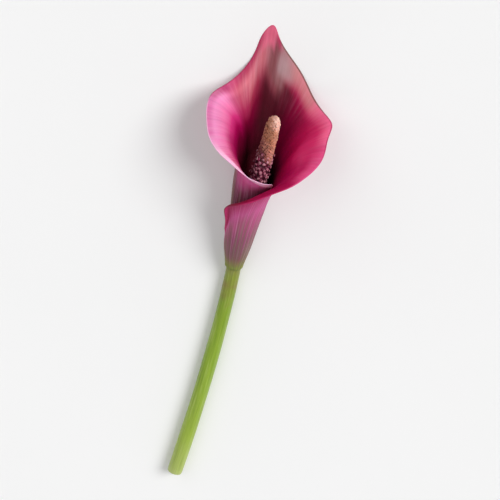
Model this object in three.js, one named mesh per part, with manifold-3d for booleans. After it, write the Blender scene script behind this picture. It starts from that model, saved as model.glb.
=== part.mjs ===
// An arum lily flower, cut with a length of stem and laid on its back, in millimetres, +Z up.
//
// The flower has three grown pieces: the spathe, one sheet rolled round itself into a tube whose two margins
// overlap at the front and that opens into a flared limb; the spadix, the flower spike inside it; and the stem.
// It lies on the back of its limb and on the stem, with its mouth up and its tip towards -Y.
//
// The head is drawn in the flower's own axes: x to the right of someone who looks into its mouth, y backwards,
// to the side of the midrib and the tip, and z up the tube from the base of the spathe.
import * as THREE from 'three';
import { mergeVertices } from 'three/addons/utils/BufferGeometryUtils.js';
import Module from 'manifold-3d';

// ---- driving dimensions, mm and degrees ----
const PITCH = 15; // the tube's rise from the surface
const BASE_HEIGHT = 5.8; // centre of the spathe's base above the surface
const SHEET = 1.0; // thickness of the spathe in the tube
const SHEET_RIM = 0.8; // and at its margin
const SPIRAL = 2.0; // growth of the rolled sheet's radius in one turn
const TUBE_SHARE = 0.42; // share of a rib's steps that lies on the tube
const TUBE_STEPS = 6;
const LIMB_STEPS = 13;
const RIB_STEPS = 2; // meshed ribs for each rib in the table
const RESTING = 0.34; // lowest the middle of the sheet can lie, where the limb rests on the surface
const SOFTNESS = 0.9; // how gradually the limb flattens there

// Radius of the tube, at the middle of the sheet, against height above the base.
const TUBE = [[0, 4.3], [6, 5.1], [14, 6.2], [25, 7.4], [38, 8.8], [50, 10.2], [60, 11.8], [70, 14.0]];
const DRIFT = 1.6 / 3600; // the tube's axis bows sideways by this times its height squared

// The ribs of the sheet, from the margin tucked inside (-) past the midrib (0) to the margin outside (+).
// angle round the tube from the midrib | margin x, y, z | height where it leaves the tube |
// lean of the sheet at the margin, from the tube's axis | length of the curve's handle at the tube, at the margin
const RIBS = [
  [-300, 6.07, 3.24, 32.0, 20, 8, 5, 5],
  [-280, 8.66, 1.45, 43.5, 31, 8, 6, 6],
  [-264, 10.62, -1.05, 52.5, 38, 12, 6, 6],
  [-250, 12.0, -5.6, 59.5, 44, 20, 7, 7],
  [-225, 9.4, -9.8, 62.4, 46, 28, 8, 8],
  [-200, 4.3, -12.8, 64.4, 47, 38, 8, 8],
  [-180, -0.6, -14.6, 66.8, 48, 50, 9, 9],
  [-160, -5.2, -14.4, 69.2, 49, 60, 9, 10],
  [-142, -10.8, -13.0, 72.1, 50, 72, 10, 12],
  [-124, -18.2, -9.5, 75.4, 50, 88, 13, 16],
  [-106, -25.2, -5.0, 79.8, 50, 98, 16, 20],
  [-86, -29.3, 2.0, 87.6, 50, 98, 18, 24],
  [-66, -30.0, 12.0, 96.2, 50, 85, 18, 27],
  [-46, -22.7, 24.5, 100.1, 50, 62, 17, 33],
  [-29, -14.8, 33.0, 107.3, 50, 40, 16, 41],
  [-15, -11.2, 38.0, 116.5, 50, 24, 15, 47],
  [-6, -8.7, 40.6, 125.1, 50, 16, 15, 49],
  [0, -4.6, 41.8, 129.7, 50, 13, 15, 50],
  [6, -0.5, 41.0, 125.4, 50, 14, 15, 49],
  [15, 4.6, 40.2, 118.4, 50, 17, 15, 47],
  [30, 14.3, 36.5, 109.5, 50, 26, 16, 43],
  [48, 23.2, 27.5, 101.1, 50, 40, 17, 38],
  [66, 31.4, 16.5, 97.4, 50, 54, 18, 31],
  [80, 36.8, 8.0, 95.7, 47, 61, 17, 27],
  [94, 36.0, 1.5, 90.9, 40, 67, 16, 24],
  [110, 35.1, -5.5, 84.0, 38, 74, 14, 20],
  [126, 30.6, -11.0, 77.0, 38, 86, 12, 15],
  [142, 22.9, -16.0, 69.6, 37, 104, 11, 11],
  [160, 14.7, -18.6, 63.4, 36, 124, 11, 8],
  [180, 4.9, -17.8, 55.5, 34, 136, 10, 7],
  [202, -4.6, -14.5, 48.4, 33, 135, 8, 5],
  [224, -10.9, -8.5, 41.3, 29, 120, 7, 5],
  [245, -9.6, -4.7, 32.0, 22, 40, 5, 5],
  [262, -8.9, -1.3, 24.0, 15, 12, 4, 4],
];

// The solid bottom of the spathe, where its turns join: radius and height, from the axis out and back.
const HEEL = [[0, -1.5], [2.6, -1.45], [4.0, -1.1], [4.75, -0.2], [4.95, 1.2], [4.5, 2.6], [3.2, 3.0], [0, 3.0]];

// The spadix: radius against height, and how far its axis leans to the right.
const SPADIX = [[0, 3.35], [1.5, 3.4], [1.9, 5], [2.3, 18], [2.8, 34], [4.4, 39], [5.1, 46], [5.3, 60], [5.2, 70],
  [4.6, 76], [4.4, 85], [4.0, 92], [3.1, 97], [1.7, 99.4], [0, 99.9]];
const SPADIX_LEAN = [[0, 0], [20, 0.5], [35, 1.7], [50, 3.0], [60, 3.9], [70, 4.5], [80, 5.1], [90, 5.6], [100, 6.2]];
const SPADIX_SIDES = 14;

// The stem: it leaves the base along the tube, sinks to the surface and lies on it in a slow curve.
const STEM_LENGTH = 132; // along Y
const STEM_GAP = 0.35; // between its top and the heel of the spathe
const STEM_TOP = 4.1; // radius at the top
const STEM_END = 4.5; // radius at the cut
const STEM_BOW = 11; // sideways bow over its length
const STEM_SIDES = 14;
const STEM_STEPS = 24;

// ---- helpers ----
const rad = THREE.MathUtils.degToRad;

// A natural cubic spline through the points (xs, ys). slope gives its first derivative.
function spline(xs, ys) {
  const n = xs.length;
  const bend = new Array(n).fill(0);
  const c = new Array(n).fill(0);
  const d = new Array(n).fill(0);
  for (let i = 1; i < n - 1; i++) {
    const before = xs[i] - xs[i - 1];
    const after = xs[i + 1] - xs[i];
    const pull = 6 * ((ys[i + 1] - ys[i]) / after - (ys[i] - ys[i - 1]) / before);
    const pivot = 2 * (before + after) - before * c[i - 1];
    c[i] = after / pivot;
    d[i] = (pull - before * d[i - 1]) / pivot;
  }
  for (let i = n - 2; i > 0; i--) bend[i] = d[i] - c[i] * bend[i + 1];
  const find = (x) => {
    let i = 0;
    while (i < n - 2 && x > xs[i + 1]) i++;
    return i;
  };
  const value = (x) => {
    const i = find(x);
    const h = xs[i + 1] - xs[i];
    const a = (xs[i + 1] - x) / h;
    const b = (x - xs[i]) / h;
    return a * ys[i] + b * ys[i + 1] + (((a ** 3 - a) * bend[i] + (b ** 3 - b) * bend[i + 1]) * h * h) / 6;
  };
  const slope = (x) => {
    const i = find(x);
    const h = xs[i + 1] - xs[i];
    const a = (xs[i + 1] - x) / h;
    const b = (x - xs[i]) / h;
    return (ys[i + 1] - ys[i]) / h + (((3 * b * b - 1) * bend[i + 1] - (3 * a * a - 1) * bend[i]) * h) / 6;
  };
  return { value, slope };
}
const column = (rows, k) => rows.map((row) => row[k]);

const tube = spline(column(TUBE, 0), column(TUBE, 1));
const ribs = [1, 2, 3, 4, 5, 6, 7].map((k) => spline(column(RIBS, 0), column(RIBS, k)));

// ---- the sheet of the spathe ----
const sinPitch = Math.sin(rad(PITCH));
const cosPitch = Math.cos(rad(PITCH));

// The limb is soft: where it would reach into the surface it flattens on to it. Height above the surface is
// BASE_HEIGHT + z sin(pitch) - y cos(pitch), and the sheet is pushed straight up.
function settle(p) {
  const height = BASE_HEIGHT + p.z * sinPitch - p.y * cosPitch;
  const s = (height - RESTING) / SOFTNESS;
  const raised = s > 30 ? height : RESTING + SOFTNESS * Math.log1p(Math.exp(s));
  p.y -= (raised - height) * cosPitch;
  p.z += (raised - height) * sinPitch;
  return p;
}

// A point on the middle of the sheet: angle in degrees round the tube, v from 0 at the base to 1 at the margin.
function sheetPoint(angle, v) {
  const [x, y, z, leave, lean, handleTube, handleRim] = ribs.map((rib) => rib.value(angle));
  const a = rad(angle);
  const spiral = (SPIRAL * angle) / 360;
  if (v < TUBE_SHARE) {
    const h = (leave * v) / TUBE_SHARE;
    const r = tube.value(h) + spiral;
    return settle(new THREE.Vector3(r * Math.sin(a) + DRIFT * h * h, r * Math.cos(a), h));
  }
  const r = tube.value(leave) + spiral;
  const start = new THREE.Vector3(r * Math.sin(a) + DRIFT * leave * leave, r * Math.cos(a), leave);
  const slope = tube.slope(leave);
  const up = new THREE.Vector3(slope * Math.sin(a) + 2 * DRIFT * leave, slope * Math.cos(a), 1).normalize();
  const end = new THREE.Vector3(x, y, z);
  const round = Math.atan2(x, y);
  const out = new THREE.Vector3(
    Math.sin(rad(lean)) * Math.sin(round),
    Math.sin(rad(lean)) * Math.cos(round),
    Math.cos(rad(lean)),
  );
  const curve = new THREE.CubicBezierCurve3(
    start,
    start.clone().addScaledVector(up, handleTube),
    end.clone().addScaledVector(out, -handleRim),
    end,
  );
  return settle(curve.getPoint((v - TUBE_SHARE) / (1 - TUBE_SHARE)));
}

// The sheet as a closed solid: its middle is moved half its thickness to each side, and the two faces are
// joined along the base, the margin and both side edges.
function sheetGeometry() {
  const angles = [];
  for (let i = 0; i < RIBS.length - 1; i++)
    for (let k = 0; k < RIB_STEPS; k++)
      angles.push(THREE.MathUtils.lerp(RIBS[i][0], RIBS[i + 1][0], k / RIB_STEPS));
  angles.push(RIBS[RIBS.length - 1][0]);
  const steps = [];
  for (let j = 0; j < TUBE_STEPS; j++) steps.push((TUBE_SHARE * j) / TUBE_STEPS);
  for (let j = 0; j <= LIMB_STEPS; j++) steps.push(TUBE_SHARE + ((1 - TUBE_SHARE) * j) / LIMB_STEPS);

  const rows = steps.length;
  const positions = [];
  const faces = [[], []]; // inside, outside
  const lowest = RIBS[0][0];
  const highest = RIBS[RIBS.length - 1][0];
  for (const angle of angles) {
    for (const v of steps) {
      const middle = sheetPoint(angle, v);
      const a0 = Math.max(lowest, angle - 0.5);
      const a1 = Math.min(highest, angle + 0.5);
      const v0 = Math.max(0, v - 0.004);
      const v1 = Math.min(1, v + 0.004);
      const round = sheetPoint(a1, v).sub(sheetPoint(a0, v));
      const along = sheetPoint(angle, v1).sub(sheetPoint(angle, v0));
      const outward = round.cross(along).normalize().negate();
      const half = THREE.MathUtils.lerp(SHEET, SHEET_RIM, v) / 2;
      for (const side of [0, 1]) {
        faces[side].push(positions.length / 3);
        const p = middle.clone().addScaledVector(outward, side ? half : -half);
        positions.push(p.x, p.y, p.z);
      }
    }
  }
  const index = [];
  const quad = (a, b, c, d) => index.push(a, b, c, a, c, d);
  const at = (side, i, j) => faces[side][i * rows + j];
  const last = angles.length - 1;
  for (let i = 0; i < last; i++) {
    for (let j = 0; j < rows - 1; j++) {
      quad(at(0, i, j), at(0, i + 1, j), at(0, i + 1, j + 1), at(0, i, j + 1));
      quad(at(1, i, j), at(1, i, j + 1), at(1, i + 1, j + 1), at(1, i + 1, j));
    }
    quad(at(0, i, 0), at(1, i, 0), at(1, i + 1, 0), at(0, i + 1, 0));
    quad(at(0, i, rows - 1), at(0, i + 1, rows - 1), at(1, i + 1, rows - 1), at(1, i, rows - 1));
  }
  for (let j = 0; j < rows - 1; j++) {
    quad(at(0, 0, j), at(0, 0, j + 1), at(1, 0, j + 1), at(1, 0, j));
    quad(at(0, last, j), at(1, last, j), at(1, last, j + 1), at(0, last, j + 1));
  }
  const geometry = new THREE.BufferGeometry();
  geometry.setAttribute('position', new THREE.Float32BufferAttribute(positions, 3));
  geometry.setIndex(index);
  return geometry;
}

// ---- joining the sheet and its heel ----
const wasm = await Module();
wasm.setup();

function solid(geometry) {
  const bare = geometry.clone();
  bare.deleteAttribute('normal');
  bare.deleteAttribute('uv');
  const merged = mergeVertices(bare, 1e-4);
  return new wasm.Manifold(
    new wasm.Mesh({
      numProp: 3,
      vertProperties: new Float32Array(merged.attributes.position.array),
      triVerts: new Uint32Array(merged.index.array),
    }),
  );
}

function fromSolid(joined) {
  const mesh = joined.getMesh();
  const geometry = new THREE.BufferGeometry();
  geometry.setAttribute('position', new THREE.BufferAttribute(new Float32Array(mesh.vertProperties), 3));
  geometry.setIndex(new THREE.BufferAttribute(new Uint32Array(mesh.triVerts), 1));
  geometry.computeVertexNormals();
  return geometry;
}

// A lathe about the z axis, from radius and height pairs that begin and end on the axis, lowest first.
function lathe(profile, sides) {
  const points = profile.map(([r, z]) => new THREE.Vector2(r, z));
  return new THREE.LatheGeometry(points, sides).rotateX(Math.PI / 2);
}

const spatheGeometry = fromSolid(solid(sheetGeometry()).add(solid(lathe(HEEL, 24))));

// ---- the spadix: turned, then bent to its lean ----
const lean = spline(column(SPADIX_LEAN, 0), column(SPADIX_LEAN, 1));
const spadixGeometry = lathe(SPADIX, SPADIX_SIDES);
{
  const p = spadixGeometry.attributes.position;
  for (let i = 0; i < p.count; i++) p.setX(i, p.getX(i) + lean.value(p.getZ(i)));
  spadixGeometry.computeVertexNormals();
}

// ---- the stem: turned, then bent along its centreline ----
const stemTop = new THREE.Vector3(0, 1.5 + STEM_GAP, 0); // below the heel, before the pitch
const stemStartY = stemTop.y * cosPitch;
const stemStartZ = BASE_HEIGHT - stemTop.y * sinPitch;
const stemRadius = (t) => THREE.MathUtils.lerp(STEM_TOP, STEM_END, t ** 0.8);
function stemCentre(t) {
  const y = stemStartY + STEM_LENGTH * t;
  const lift = stemStartZ - STEM_TOP;
  const sink = Math.exp((-(y - stemStartY) * Math.tan(rad(PITCH))) / lift);
  return new THREE.Vector3(STEM_BOW * t ** 1.6, y, stemRadius(t) + lift * sink);
}
const profile = [[0, 0]];
for (let k = 0; k <= STEM_STEPS; k++) profile.push([1, (k / STEM_STEPS) ** 1.25]);
profile.push([0, 1]);
const stemGeometry = lathe(profile, STEM_SIDES);
{
  const p = stemGeometry.attributes.position;
  for (let i = 0; i < p.count; i++) {
    const t = THREE.MathUtils.clamp(p.getZ(i), 0, 1);
    const centre = stemCentre(t);
    const step = 0.002;
    const forward = stemCentre(Math.min(1, t + step)).sub(stemCentre(Math.max(0, t - step))).normalize();
    if (t < 1e-6) forward.set(0, cosPitch, -sinPitch);
    const side = new THREE.Vector3(0, 0, 1).cross(forward).normalize();
    const over = new THREE.Vector3().crossVectors(forward, side);
    const r = stemRadius(t);
    centre.addScaledVector(side, r * p.getX(i)).addScaledVector(over, r * p.getY(i));
    p.setXYZ(i, centre.x, centre.y, centre.z);
  }
  stemGeometry.computeVertexNormals();
}

// ---- the flower ----
const spathe = new THREE.Mesh(
  spatheGeometry,
  new THREE.MeshStandardMaterial({ color: 0xa8286a, roughness: 0.45, metalness: 0, side: THREE.DoubleSide }),
);
spathe.name = 'spathe';
const spadix = new THREE.Mesh(
  spadixGeometry,
  new THREE.MeshStandardMaterial({ color: 0xc98e74, roughness: 0.7, metalness: 0 }),
);
spadix.name = 'spadix';
const stem = new THREE.Mesh(
  stemGeometry,
  new THREE.MeshStandardMaterial({ color: 0x8fae3c, roughness: 0.4, metalness: 0 }),
);
stem.name = 'stem';

// The head lies on its back: its x axis points to -X, and its tube rises from the surface towards -Y.
const head = new THREE.Group();
head.position.set(0, 0, BASE_HEIGHT);
head.quaternion.setFromRotationMatrix(
  new THREE.Matrix4().makeBasis(
    new THREE.Vector3(-1, 0, 0),
    new THREE.Vector3(0, -sinPitch, -cosPitch),
    new THREE.Vector3(0, -cosPitch, sinPitch),
  ),
);
head.add(spathe, spadix);

// The part's origin is on the surface, under the middle of its box.
const flower = new THREE.Group();
flower.add(head, stem);
flower.updateMatrixWorld(true);
const box = new THREE.Box3().setFromObject(flower, true);
flower.position.set(-(box.min.x + box.max.x) / 2, -(box.min.y + box.max.y) / 2, -box.min.z);

export default flower;
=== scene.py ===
"""An arum lily flower, cut with a length of stem and laid on its back. Metres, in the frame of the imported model.

The head is worked out in the flower's own axes, in millimetres: x to the right of someone who looks into its mouth,
y backwards, to the side of the midrib and the tip, and z up the tube from the base of the spathe.
"""

import math

import bpy
import numpy as np
from mathutils import Matrix, Vector


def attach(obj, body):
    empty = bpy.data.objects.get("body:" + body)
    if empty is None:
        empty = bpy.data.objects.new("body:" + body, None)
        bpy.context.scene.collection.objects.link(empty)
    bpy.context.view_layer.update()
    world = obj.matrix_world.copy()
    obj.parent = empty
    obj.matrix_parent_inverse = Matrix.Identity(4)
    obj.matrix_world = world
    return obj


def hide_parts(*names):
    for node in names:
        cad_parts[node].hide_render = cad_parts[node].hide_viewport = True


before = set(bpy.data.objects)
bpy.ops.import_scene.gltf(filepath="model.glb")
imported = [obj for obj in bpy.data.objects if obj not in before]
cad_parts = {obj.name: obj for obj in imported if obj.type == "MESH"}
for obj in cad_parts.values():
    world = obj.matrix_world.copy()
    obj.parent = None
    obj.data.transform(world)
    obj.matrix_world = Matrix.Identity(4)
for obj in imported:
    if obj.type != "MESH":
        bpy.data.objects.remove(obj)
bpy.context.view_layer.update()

# ------------------------------------------------------------------ dimensions, mm and degrees, as in the CAD model, but
# the spadix is slimmer and up to 2 mm shorter, and the margin is up to 1 mm further in at the upper left and further
# out at the lower right
PITCH = math.radians(15)
SIN, COS = math.sin(PITCH), math.cos(PITCH)
BASE_HEIGHT = 5.8
SHIFT = (3.236516, 0.866402, 0.01748)  # from the head's axes to the middle of the part's box
SPIRAL = 2.0
SHARE = 0.42
RESTING, SOFTNESS = 0.26, 0.9
DRIFT = 1.6 / 3600
TUBE = [(0, 4.3), (6, 5.1), (14, 6.2), (25, 7.4), (38, 8.8), (50, 10.2), (60, 11.8), (70, 14.0)]
# angle | margin x, y, z | height where the rib leaves the tube | lean at the margin | handles
RIBS = [
    (-300, 6.07, 3.24, 32.0, 20, 8, 5, 5),
    (-280, 8.66, 1.45, 43.5, 31, 8, 6, 6),
    (-264, 10.62, -1.05, 52.5, 38, 12, 6, 6),
    (-250, 12.0, -5.6, 59.5, 44, 20, 7, 7),
    (-225, 9.4, -9.8, 62.4, 46, 28, 8, 8),
    (-200, 4.3, -12.8, 64.4, 47, 38, 8, 8),
    (-180, -0.6, -14.6, 66.8, 48, 50, 9, 9),
    (-160, -5.2, -14.4, 69.2, 49, 60, 9, 10),
    (-142, -10.8, -13.0, 72.1, 50, 72, 10, 12),
    (-124, -18.2, -9.5, 75.4, 50, 88, 13, 16),
    (-106, -25.2, -5.0, 79.8, 50, 98, 16, 20),
    (-86, -29.3, 2.0, 87.6, 50, 98, 18, 24),
    (-66, -30.0, 12.0, 96.2, 50, 85, 18, 27),
    (-46, -22.2, 24.5, 99.3, 50, 62, 17, 33),
    (-29, -14.4, 33.0, 106.8, 50, 40, 16, 41),
    (-15, -10.8, 38.0, 116.2, 50, 24, 15, 47),
    (-6, -8.4, 40.6, 125.0, 50, 16, 15, 49),
    (0, -4.2, 41.8, 129.7, 50, 13, 15, 50),
    (6, -0.5, 41.0, 125.4, 50, 14, 15, 49),
    (15, 4.6, 40.2, 118.4, 50, 17, 15, 47),
    (30, 14.3, 36.5, 109.5, 50, 26, 16, 43),
    (48, 23.2, 27.5, 101.1, 50, 40, 17, 38),
    (66, 31.4, 16.5, 97.4, 50, 54, 18, 31),
    (80, 36.8, 8.0, 95.7, 47, 61, 17, 27),
    (94, 36.0, 1.5, 90.9, 40, 67, 16, 24),
    (110, 35.4, -5.5, 83.8, 38, 74, 14, 20),
    (126, 31.4, -11.0, 76.4, 38, 86, 12, 15),
    (142, 23.6, -16.0, 69.0, 37, 104, 11, 11),
    (160, 14.7, -18.6, 63.4, 36, 124, 11, 8),
    (180, 4.9, -17.8, 55.5, 34, 136, 10, 7),
    (202, -4.6, -14.5, 48.4, 33, 135, 8, 5),
    (224, -10.9, -8.5, 41.3, 29, 120, 7, 5),
    (245, -9.6, -4.7, 32.0, 22, 40, 5, 5),
    (262, -8.9, -1.3, 24.0, 15, 12, 4, 4),
]
SPADIX = [(2.0, 2.4), (2.1, 3.6), (2.3, 18), (2.8, 34), (3.6, 37), (4.3, 41), (4.6, 46), (4.5, 60), (4.45, 70), (4.2, 76),
          (3.9, 84), (3.75, 90), (3.5, 93.9), (2.85, 96.3), (1.65, 97.8), (0.0, 98.3)]  # radius, height
SPADIX_LEAN = [(0, 0), (20, 0.5), (35, 1.8), (50, 3.2), (60, 4.1), (70, 4.8), (80, 5.4), (90, 5.9), (100, 6.4)]
FERTILE = 39.0  # height where the florets begin
CHANGE = 74.2  # height where the female florets give way to the male ones
OBLIQUE = 1.3  # by how much that is lower on the right and higher on the left
STEM_LENGTH, STEM_TOP, STEM_END, STEM_BOW = 132.0, 4.1, 4.5, 11.0
STEM_START = 1.85  # below the base of the spathe, along the tube


def smooth(a, b, x):
    t = np.clip((np.asarray(x, float) - a) / (b - a), 0, 1)
    return t * t * (3 - 2 * t)


def lerp(a, b, t):
    return a + (b - a) * t


class Spline:
    """A natural cubic spline through (xs, ys)."""

    def __init__(self, xs, ys):
        x, y = np.array(xs, float), np.array(ys, float)
        n, h = len(x), np.diff(x)
        a, b = np.eye(n), np.zeros(n)
        for i in range(1, n - 1):
            a[i, i - 1 : i + 2] = h[i - 1], 2 * (h[i - 1] + h[i]), h[i]
            b[i] = 6 * ((y[i + 1] - y[i]) / h[i] - (y[i] - y[i - 1]) / h[i - 1])
        self.x, self.y, self.h, self.m = x, y, h, np.linalg.solve(a, b)

    def _at(self, x):
        i = np.clip(np.searchsorted(self.x, x, side="right") - 1, 0, len(self.h) - 1)
        h = self.h[i]
        return i, h, (self.x[i + 1] - x) / h, (x - self.x[i]) / h

    def __call__(self, x):
        i, h, a, b = self._at(x)
        bend = (a**3 - a) * self.m[i] + (b**3 - b) * self.m[i + 1]
        return a * self.y[i] + b * self.y[i + 1] + bend * h * h / 6

    def slope(self, x):
        i, h, a, b = self._at(x)
        bend = (3 * b * b - 1) * self.m[i + 1] - (3 * a * a - 1) * self.m[i]
        return (self.y[i + 1] - self.y[i]) / h + bend * h / 6


tube = Spline(*zip(*TUBE))
ribs = [Spline([r[0] for r in RIBS], [r[k] for r in RIBS]) for k in range(1, 8)]
FIRST, LAST = RIBS[0][0], RIBS[-1][0]


def unit(p):
    return p / np.maximum(np.linalg.norm(p, axis=-1, keepdims=True), 1e-9)


def to_row(p):
    """From the flower's own axes, mm, to the row frame, m."""
    p = np.asarray(p, float)
    x = -p[..., 0] + SHIFT[0]
    y = -(p[..., 2] * COS + p[..., 1] * SIN) + SHIFT[1]
    z = BASE_HEIGHT + p[..., 2] * SIN - p[..., 1] * COS + SHIFT[2]
    return np.stack([x, y, z], -1) / 1000


# ------------------------------------------------------------------ meshes
def add_mesh(name, verts, faces, material, attributes=None, material_index=None):
    mesh = bpy.data.meshes.new(name)
    mesh.from_pydata([tuple(v) for v in verts], [], [tuple(int(i) for i in f) for f in faces])
    for key, values in (attributes or {}).items():
        layer = mesh.attributes.new(key, "FLOAT", "POINT")
        layer.data.foreach_set("value", np.asarray(values, np.float32).ravel())
    for m in material if isinstance(material, (list, tuple)) else [material]:
        mesh.materials.append(m)
    if material_index is not None:
        mesh.polygons.foreach_set("material_index", np.asarray(material_index, np.int32))
    mesh.polygons.foreach_set("use_smooth", np.ones(len(mesh.polygons), bool))
    mesh.update()
    obj = bpy.data.objects.new(name, mesh)
    bpy.context.scene.collection.objects.link(obj)
    return obj


def grid_faces(rows, columns, wrap=False, flip=False, offset=0):
    """Quads of a grid whose vertex (i, j) is number i * columns + j. wrap joins the last column to the first."""
    i = np.arange(rows - 1)[:, None]
    j = np.arange(columns if wrap else columns - 1)[None, :]
    k = (j + 1) % columns
    a, b, c, d = i * columns + j, (i + 1) * columns + j, (i + 1) * columns + k, i * columns + k
    quads = np.stack(np.broadcast_arrays(a, d, c, b) if flip else np.broadcast_arrays(a, b, c, d), -1)
    return (quads.reshape(-1, 4) + offset).tolist()


# ------------------------------------------------------------------ materials
def srgb(r, g, b):
    def one(c):
        c = c / 255
        return c / 12.92 if c <= 0.04045 else ((c + 0.055) / 1.055) ** 2.4

    return (one(r), one(g), one(b), 1.0)


class Shader:
    """A material's nodes, with short calls for the kinds used here."""

    def __init__(self, name):
        self.material = bpy.data.materials.new(name)
        self.material.use_nodes = True
        self.tree = self.material.node_tree
        self.tree.nodes.clear()
        out = self.node("ShaderNodeOutputMaterial")
        self.bsdf = self.node("ShaderNodeBsdfPrincipled")
        self.tree.links.new(self.bsdf.outputs["BSDF"], out.inputs["Surface"])

    def node(self, kind, **settings):
        n = self.tree.nodes.new(kind)
        for key, value in settings.items():
            setattr(n, key, value)
        return n

    def put(self, socket, value):
        if isinstance(value, bpy.types.NodeSocket):
            self.tree.links.new(value, socket)
        else:
            socket.default_value = value

    def principled(self, **values):
        for key, value in values.items():
            self.put(self.bsdf.inputs[key.replace("_", " ")], value)

    def attribute(self, name):
        return self.node("ShaderNodeAttribute", attribute_name=name).outputs["Fac"]

    def math(self, operation, a, b=0.0, clamp=False):
        n = self.node("ShaderNodeMath", operation=operation, use_clamp=clamp)
        self.put(n.inputs[0], a)
        self.put(n.inputs[1], b)
        return n.outputs[0]

    def band(self, x, a, b, low=0.0, high=1.0):
        """low where x is a or less, high where it is b or more, smooth between. b may be under a."""
        if b < a:
            a, b, low, high = b, a, high, low
        n = self.node("ShaderNodeMapRange", interpolation_type="SMOOTHSTEP")
        for key, value in zip(("Value", "From Min", "From Max", "To Min", "To Max"), (x, a, b, low, high)):
            self.put(n.inputs[key], value)
        return n.outputs["Result"]

    def ramp(self, x, stops):
        n = self.node("ShaderNodeValToRGB")
        elements = n.color_ramp.elements
        while len(elements) < len(stops):
            elements.new(0.5)
        for element, (place, colour) in zip(elements, stops):
            element.position = place
        for element, (place, colour) in zip(elements, stops):
            element.color = srgb(*colour)
        self.put(n.inputs["Fac"], x)
        return n.outputs["Color"]

    def mix(self, factor, a, b, blend="MIX"):
        n = self.node("ShaderNodeMix", data_type="RGBA", blend_type=blend, clamp_factor=True)
        self.put(n.inputs["Factor"], factor)
        self.put(n.inputs[6], a if isinstance(a, bpy.types.NodeSocket) else srgb(*a))
        self.put(n.inputs[7], b if isinstance(b, bpy.types.NodeSocket) else srgb(*b))
        return n.outputs[2]

    def vector(self, x=0.0, y=0.0, z=0.0):
        n = self.node("ShaderNodeCombineXYZ")
        for socket, value in zip(n.inputs, (x, y, z)):
            self.put(socket, value)
        return n.outputs[0]

    def place(self):
        return self.node("ShaderNodeTexCoord").outputs["Object"]

    def noise(self, vector, scale=1.0, detail=3.0, roughness=0.5, distortion=0.0):
        n = self.node("ShaderNodeTexNoise")
        self.put(n.inputs["Vector"], vector)
        n.inputs["Scale"].default_value = scale
        n.inputs["Detail"].default_value = detail
        n.inputs["Roughness"].default_value = roughness
        n.inputs["Distortion"].default_value = distortion
        return n.outputs["Fac"]

    def cells(self, vector, scale, feature="F1"):
        n = self.node("ShaderNodeTexVoronoi", feature=feature)
        self.put(n.inputs["Vector"], vector)
        n.inputs["Scale"].default_value = scale
        return n.outputs["Distance"]

    def shade(self, colour, amount):
        """colour made darker or lighter: amount is a number socket, 1 for no change."""
        n = self.node("ShaderNodeMix", data_type="RGBA", blend_type="MULTIPLY")
        n.inputs["Factor"].default_value = 1.0
        self.put(n.inputs[6], colour)
        grey = self.node("ShaderNodeCombineColor")
        for socket in grey.inputs:
            self.put(socket, amount)
        self.put(n.inputs[7], grey.outputs[0])
        return n.outputs[2]

    def bump(self, height, distance, strength=1.0, normal=None):
        n = self.node("ShaderNodeBump")
        n.inputs["Strength"].default_value = strength
        n.inputs["Distance"].default_value = distance
        self.put(n.inputs["Height"], height)
        if normal is not None:
            self.put(n.inputs["Normal"], normal)
        return n.outputs["Normal"]


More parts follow.
